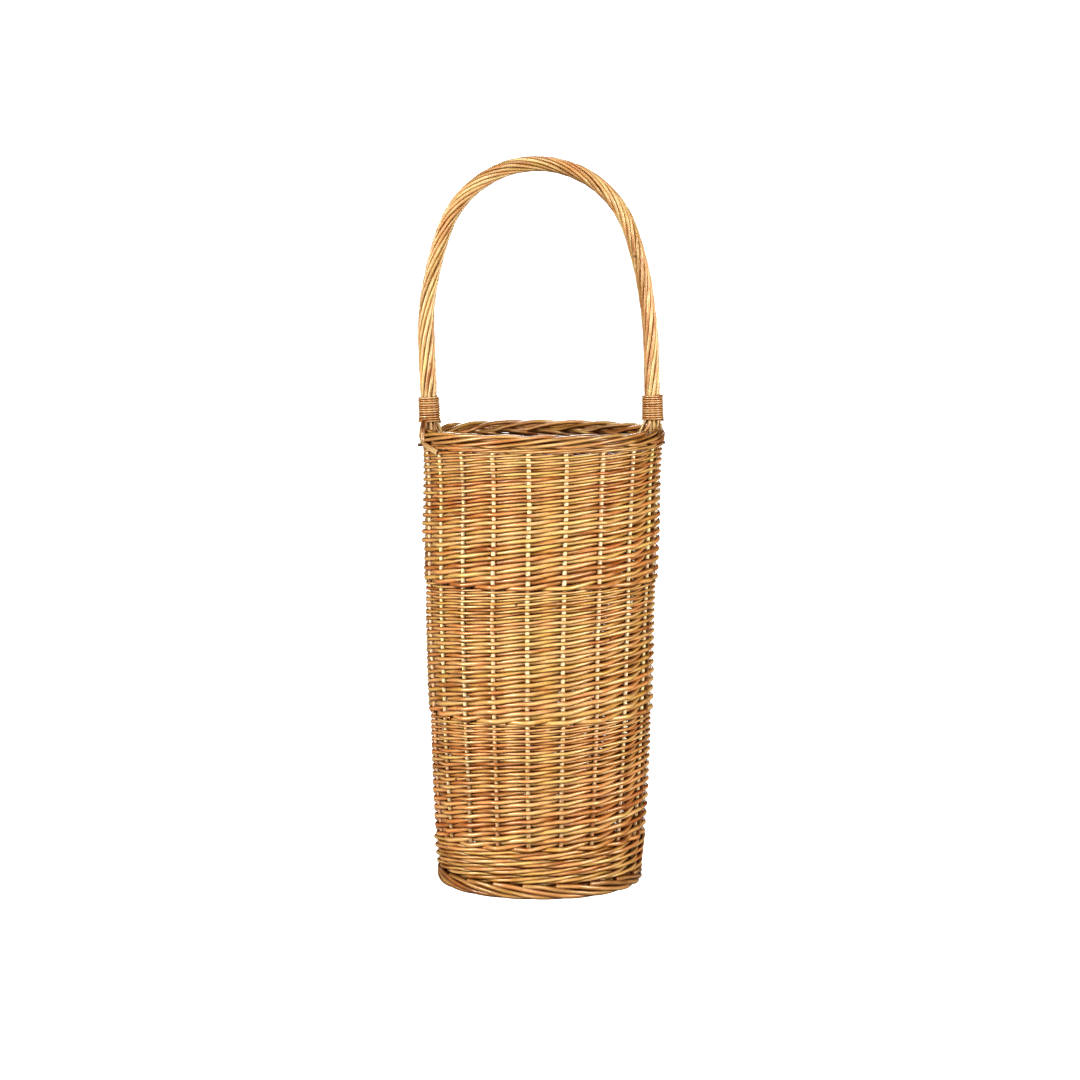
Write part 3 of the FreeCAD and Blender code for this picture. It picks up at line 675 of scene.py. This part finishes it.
def make_stakes():
    for k in range(STAKES):
        controls = []
        for radius, lift in STAKE_FOOT:
            controls.append(ring_points([k], radius, BASE_LEVEL + lift)[0])
        for z in (27.0, *np.arange(42.0, RIM_BOTTOM - 14, 24.0), RIM_BOTTOM - 6):
            rise, out = sway(angle_at([k]), z)
            wander = random.uniform(-0.012, 0.012)
            controls.append(ring_points([k + wander], wall_radius(z) + out[0] * 0.8, z)[0])
        straight = len(controls)
        for passed, inward, lift in BORDER_ROUTE:
            radius = RIM_OUTER - inward + random.uniform(-BORDER_WANDER, BORDER_WANDER)
            z = RIM_BOTTOM + lift + random.uniform(-BORDER_WANDER, BORDER_WANDER)
            controls.append(ring_points([k + passed], radius, z)[0])
        path = smooth_line(controls, 2.6)
        bend = np.argmin(np.linalg.norm(path - controls[straight], axis=1))
        past = np.clip((np.arange(len(path)) - bend) / (len(path) - bend), 0, 1)
        diameter = np.interp(past, ROLLED_SHARES, ROLLED_DIAMETERS)
        rolled = past > 0
        paler = np.interp(path[:, 2], [40, 260], [0.1, 1.0])
        tint = np.where(rolled, random.uniform(0.1, 0.9), random.uniform(0.4, 1.0) * paler)
        shade = np.where(rolled, 0.0, FOOT_SHADE * (1 - paler))
        rod(
            f"side_stake_rod_{k + 1:02d}", path, diameter, UPRIGHT,
            [f"side_stake_{k + 1:02d}", "top_border"], shade, tint=tint,
            beyond=(np.argmax(rolled), BORDER),
        )


# ---------------------------------------------------------------- the rolled foot border

# A rod of the foot border, point by point: how many stakes it has passed, its distance in from the
# border's outer face, and its height over the floor.
FOOT_ROUTE = [
    (-0.12, 3.6, 14.9), (0.40, 3.0, 14.2), (1.00, 2.9, 10.6), (1.60, 2.9, 7.0), (2.20, 3.4, 4.0),
    (2.80, 6.0, 2.9), (3.40, 8.4, 3.6), (3.90, 9.2, 6.4), (4.40, 9.4, 9.8), (4.90, 9.2, 13.2),
    (5.50, 9.2, 16.6), (6.20, 9.6, 20.5),
]
FOOT_WANDER = 0.25
FOOT_BUTT_DIA, FOOT_TIP_DIA = 5.9, 5.0
LOWEST = 2.9  # the lowest centre line of a rod that rests on the floor

# The rods packed inside the border: distance in from its outer face, height over the floor.
FOOT_PACKING = [(12.4, 4.5), (12.4, 9.3), (13.6, 22.6)]
# The packing rods are darkened with painted shade, for the shade that they lie in inside the border.
PACKING_DIA, PACKING_SHADE = 5.0, 0.6


def make_foot_border():
    for k in range(STAKES):
        controls = []
        shift = random.uniform(-0.06, 0.06)
        for passed, inward, z in FOOT_ROUTE:
            wander = random.uniform(-FOOT_WANDER, FOOT_WANDER)
            radius = FOOT_OUTER - inward - abs(wander)
            z = max(z + wander, LOWEST)
            controls.append(ring_points([k + shift + passed], radius, z)[0])
        path = smooth_line(controls, 2.0)
        diameter = np.linspace(FOOT_BUTT_DIA, FOOT_TIP_DIA, len(path))
        rod(f"foot_border_rod_{k + 1:02d}", path, diameter, BORDER, ["foot_border"])
    around = np.arange(0, STAKES + 0.3, 0.1)
    for i, (inward, z) in enumerate(FOOT_PACKING):
        ring = ring_points(around + 3 * i, FOOT_OUTER - inward, z)
        rod(
            f"foot_border_packing_{i + 1}", ring, PACKING_DIA, BORDER,
            ["foot_border"], PACKING_SHADE,
        )


# ---------------------------------------------------------------- the base

BASE_STICKS = sum(name.startswith("base_stick_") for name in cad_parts)
SPLIT_PITCH, SPLIT_DIA, SPLIT_EDGE = 8.0, 7.0, 15.0
THREADED_PITCH, THREADED_DIA, THREADED_EDGE = 6.0, 5.4, 20.5
SPOKE_PHASE, SPOKE_REACH, FANNED_REACH = -1.7, 99.0, 60
BASE_WEAVE_RODS, BASE_WEAVE_DIA, BASE_WEAVE_PITCH = 8, 3.0, 3.3
BASE_WEAVE_INNER, BASE_WEAVE_OUTER = 26.0, 101.5


def make_base_sticks():
    """Half the sticks are split, and the other half are threaded through them, crosswise."""
    step = FULL_TURN / STAKES
    half = BASE_STICKS // 2
    for number in range(BASE_STICKS):
        index = number % half - half // 2
        if number < half:
            pitch, diameter, edge, quarter = SPLIT_PITCH, SPLIT_DIA, SPLIT_EDGE, 0
        else:
            pitch, diameter, edge, quarter = THREADED_PITCH, THREADED_DIA, THREADED_EDGE, 90
        side = index * pitch
        fan = math.radians(index * step)
        right = [(far * math.cos(fan), far * math.sin(fan)) for far in (SPOKE_REACH, FANNED_REACH)]
        right.append((edge + 8, side + (right[-1][1] - side) * 0.12))
        right.append((edge - 2, side))
        plan = [(-x, y) for x, y in right] + [(0, side)] + right[::-1]
        turned = math.radians(SPOKE_PHASE + quarter)
        cos, sin = math.cos(turned), math.sin(turned)
        controls = [(x * cos - y * sin, x * sin + y * cos, BASE_LEVEL) for x, y in plan]
        rod(
            f"base_stick_rod_{number + 1:02d}", smooth_line(controls, 3), diameter,
            BASE, [f"base_stick_{number + 1:02d}"],
        )


def make_base_weave():
    """Two strands, over and under the spokes in turn, that spiral out together."""
    turns = (BASE_WEAVE_OUTER - BASE_WEAVE_INNER) / BASE_WEAVE_PITCH / 2
    lengths = BASE_WEAVE_RODS // 2
    for side in range(2):
        whole = np.arange(0, turns * STAKES, 1 / 14)
        share = whole / whole[-1]
        radius = BASE_WEAVE_INNER + (BASE_WEAVE_OUTER - BASE_WEAVE_INNER) * share
        place = whole + side * STAKES / 2
        angle = np.radians(SPOKE_PHASE + FULL_TURN / STAKES * place)
        over = np.clip(np.cos(math.pi * place + math.pi * side) * 1.6, -1, 1)
        reach = np.interp(radius, [20, 34, 100], [4.2, 3.9, 4.1])
        z = BASE_LEVEL + reach * over
        line = np.stack([radius * np.cos(angle), radius * np.sin(angle), z], axis=1)
        for i, part in enumerate(np.array_split(np.arange(len(line)), lengths)):
            part = np.arange(part[0], min(part[-1] + 6, len(line)))
            rod(
                f"base_weave_rod_{side * lengths + i + 1}", line[part], BASE_WEAVE_DIA,
                BASE, ["base_weave"], sides=8,
            )


# ---------------------------------------------------------------- the handle

BINDING_BOTTOM = 511.0
BINDING_TURNS, BINDING_PITCH, BINDING_DIA = 11.2, 2.5, 2.5
BINDING_TINT, BINDING_HUE = 0.35, 0.05
SPLAY_HEIGHT = 21.0  # the roping rods fan out over this height, where they go down into the border
FOOT_LAY, CROWN_LAY = 7.5, 14.5  # the slant of the roping rods at the handle's feet and at its crown
# how much of the painted shade between neighbouring rods the roping rods get
ROPE_CREVICE_SHADE = 0.5


def make_handle():
    line = bow_line(2.6)
    rod("handle_core_rod", line, CORE_DIA, HANDLE, ["handle_core"])
    roped = line[line[:, 2] > RIM_BOTTOM + 4]
    tangents, across, other = frames_along(roped)
    length = np.concatenate([[0], np.cumsum(np.linalg.norm(np.diff(roped, axis=0), axis=1))])
    share = length / length[-1]
    lay = np.radians(FOOT_LAY + (CROWN_LAY - FOOT_LAY) * np.sin(math.pi * share) ** 1.5)
    ring = CORE_DIA / 2 + STRAND_DIA / 2
    twist = np.concatenate([[0], np.cumsum(np.tan((lay[1:] + lay[:-1]) / 2) / ring * np.diff(length))])
    from_foot = np.minimum(length, length[-1] - length)
    for k in range(STRANDS):
        angle = 2 * math.pi * k / STRANDS + twist + slow_noise(len(roped), 30, 0.06)
        fanned = np.clip(1 - from_foot / SPLAY_HEIGHT, 0, 1) ** 1.1
        angle = angle - 0.22 * np.sin(4 * angle) * np.minimum(fanned * 2, 1)
        splay = fanned * random.uniform(6.5, 9.5)
        away = np.cos(angle)[:, None] * across + np.sin(angle)[:, None] * other
        outside = away[:, 0] * np.sign(roped[:, 0]) > 0
        swell = np.interp(from_foot, [40, 60, 110, 140], [0.2, 1, 1, 0])
        swell = swell * np.where(roped[:, 0] < 0, 1.0, 0.3)
        reach = ring + swell + slow_noise(len(roped), 24, 0.16) + splay * np.where(outside, 0.5, 1.0)
        path = roped + reach[:, None] * away
        diameter = STRAND_DIA * random.uniform(0.94, 1.06)
        rod(
            f"handle_strand_rod_{k + 1:02d}", path, diameter, HANDLE,
            [f"handle_strand_{k + 1:02d}"], crevice_shade=ROPE_CREVICE_SHADE,
        )


def make_bindings():
    for name, side in (("left", -1), ("right", 1)):
        turn = np.arange(0, BINDING_TURNS * 2 * math.pi, 0.16)
        looser = np.interp(turn / turn[-1], [0, 0.15, 1], [1.9, 1.2, 0.7])
        ring = CORE_DIA / 2 + STRAND_DIA + BINDING_DIA / 2 + looser
        z = BINDING_BOTTOM + BINDING_PITCH * turn / (2 * math.pi) + slow_noise(len(turn), 40, 0.2)
        ring = ring + slow_noise(len(turn), 30, 0.15)
        centre = core_radius_at(z) * side
        path = np.stack([centre + ring * np.cos(turn), ring * np.sin(turn), z], axis=1)
        rod(
            f"handle_binding_rod_{name}", path, BINDING_DIA, HANDLE,
            [f"handle_binding_{name}"], tint=BINDING_TINT, hue=BINDING_HUE,
        )


# The tie's middle line, point by point: its angle past the handle's left foot, its distance inside
# the tie's outermost point, and its height.
TIE_ROUTE = [
    (1.6, 9.0, 514.0), (3.6, 5.4, 508.5), (5.2, 3.4, 502.0), (5.9, 3.2, 495.0), (7.0, 3.4, 490.0),
    (10.0, 4.2, 487.2), (14.5, 5.0, 484.8), (19.0, 5.6, 482.4), (23.0, 6.0, 480.2),
]
TIE_RODS, TIE_BUTT_DIA, TIE_TIP_DIA = 3, 4.6, 3.2
PEG_DIA, PEG_SHADE, PEG_TINT = 3.2, 0.6, 0.1


def make_tie():
    """Rods side by side down over the border, which then turn and lie one above the other."""
    outer = -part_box("handle_tie_left")[0][0] / MM
    for number in range(TIE_RODS):
        controls = []
        for place, inward, z in TIE_ROUTE:
            turned = min(1.0, max(0.0, (place - 6) / 6))
            side_by_side = number * (2.0 - 1.6 * turned) * min(1.0, (520 - z) / 18)
            angle = math.radians(180 + place + side_by_side)
            radius = outer - inward + (number == 1) * 0.4
            z = z + number * 1.7 * turned
            controls.append((radius * math.cos(angle), radius * math.sin(angle), z))
        path = smooth_line(controls, 1.5)
        pale = np.interp(path[:, 2], [485, 491], [1.0, 0.1])
        diameter = np.linspace(TIE_BUTT_DIA, TIE_TIP_DIA, len(path))
        rod(
            f"handle_tie_rod_left_{number + 1}", path, diameter, HANDLE,
            ["handle_tie_left"], shade=0.35 * (1 - pale), tint=pale, hue=0.15 + 0.3 * (number == 1),
        )


def make_pegs():
    for name in ("left", "right"):
        low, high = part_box(f"handle_peg_{name}")
        level = (low[2] + high[2]) / 2 / MM
        inner, outer = sorted((low[0] / MM, high[0] / MM), key=abs)
        middle = (inner + outer) / 2
        controls = [(inner, 0, level), (middle, 0.2, level), (outer * 0.992, -0.3, level + 0.3)]
        rod(
            f"handle_peg_rod_{name}", smooth_line(controls, 2), PEG_DIA, HANDLE,
            [f"handle_peg_{name}"], PEG_SHADE, tint=PEG_TINT,
        )


# ---------------------------------------------------------------- camera, light and floor

# Distances and heights in this section are metres.
CAMERA_YAW, CAMERA_PITCH = 8.0, 6.086
CAMERA_DISTANCE, CAMERA_HEIGHT = 3.196, 0.7203
SENSOR, LENS = 36.0, 97.0266667  # both mm
CAMERA_SIDE = -90 - CAMERA_YAW  # the azimuth that the camera looks from

SURROUND = 0.04  # how bright the backdrop is as a light, where the camera sees it as 1
LAMP_WIDTH, LAMP_TALLEST = 0.8, 1.0
AIM = Vector((0, 0, 0.35))  # where all the lamps point
# Soft boxes: name, azimuth, distance, height, watts.
LAMPS = [
    ("box_left", CAMERA_SIDE - 60, 2.3, 0.85, 48.0),
    ("box_right", CAMERA_SIDE + 60, 2.3, 0.85, 42.0),
    ("box_front", CAMERA_SIDE, 2.6, 1.15, 22.0),
    ("box_top", CAMERA_SIDE, 0.9, 2.6, 20.0),
    ("box_low", CAMERA_SIDE, 1.5, 0.13, 3.5),
    ("box_back", CAMERA_SIDE + 180, 2.6, 1.3, 24.0),
]
FLOOR_REACH = 60.0
FLOOR_COLOUR = (0.30, 0.30, 0.30, 1.0)
WHITE = (1.0, 1.0, 1.0, 1.0)


def make_camera():
    yaw, pitch = math.radians(CAMERA_YAW), math.radians(CAMERA_PITCH)
    camera = bpy.data.objects.new("camera", bpy.data.cameras.new("camera"))
    bpy.context.scene.collection.objects.link(camera)
    camera.data.sensor_width = SENSOR
    camera.data.lens = LENS
    x, y = -CAMERA_DISTANCE * math.sin(yaw), -CAMERA_DISTANCE * math.cos(yaw)
    camera.location = (x, y, CAMERA_HEIGHT)
    camera.rotation_euler = (math.pi / 2 - pitch, 0, -yaw)
    bpy.context.scene.camera = camera


def make_light():
    """A white backdrop that gives a little light, and soft boxes all round, overhead and low down."""
    world = bpy.data.worlds.new("studio")
    bpy.context.scene.world = world
    world.use_nodes = True
    tree = world.node_tree
    background = tree.nodes["Background"]
    background.inputs["Color"].default_value = WHITE
    seen = tree.nodes.new("ShaderNodeMapRange")
    seen.inputs["To Min"].default_value = SURROUND
    seen.inputs["To Max"].default_value = 1.0
    camera_ray = tree.nodes.new("ShaderNodeLightPath").outputs["Is Camera Ray"]
    tree.links.new(camera_ray, seen.inputs["Value"])
    tree.links.new(seen.outputs["Result"], background.inputs["Strength"])
    bpy.context.scene.view_settings.view_transform = "Standard"
    bpy.context.scene.view_settings.look = "High Contrast"
    for name, azimuth, distance, height, power in LAMPS:
        lamp = bpy.data.lights.new(name, "AREA")
        lamp.shape = "RECTANGLE"
        lamp.size, lamp.size_y = LAMP_WIDTH, min(LAMP_TALLEST, 1.6 * height)
        lamp.energy = power
        holder = bpy.data.objects.new(name, lamp)
        angle = math.radians(azimuth)
        place = Vector((distance * math.cos(angle), distance * math.sin(angle), height))
        holder.location = place
        holder.rotation_euler = (AIM - place).to_track_quat("-Z", "Y").to_euler()
        bpy.context.scene.collection.objects.link(holder)


def make_floor():
    """A wide floor that the camera sees as white, and that gives off no light of its own."""
    mesh = bpy.data.meshes.new("floor")
    corners = [(FLOOR_REACH * x, FLOOR_REACH * y, 0) for x, y in ((-1, -1), (1, -1), (1, 1), (-1, 1))]
    mesh.from_pydata(corners, [], [(0, 1, 2, 3)])
    floor = bpy.data.objects.new("floor", mesh)
    bpy.context.scene.collection.objects.link(floor)
    material = bpy.data.materials.new("floor_white")
    material.use_nodes = True
    tree = material.node_tree
    shader = tree.nodes["Principled BSDF"]
    shader.inputs["Base Color"].default_value = FLOOR_COLOUR
    shader.inputs["Roughness"].default_value = 0.9
    shader.inputs["Specular IOR Level"].default_value = 0.0
    shader.inputs["Emission Color"].default_value = WHITE
    seen = tree.nodes.new("ShaderNodeLightPath").outputs["Is Camera Ray"]
    tree.links.new(seen, shader.inputs["Emission Strength"])
    mesh.materials.append(material)


make_camera()
make_light()
make_floor()
make_base_sticks()
make_base_weave()
make_stakes()
make_foot_border()
make_wales()
make_rands()
make_handle()
make_bindings()
make_tie()
make_pegs()
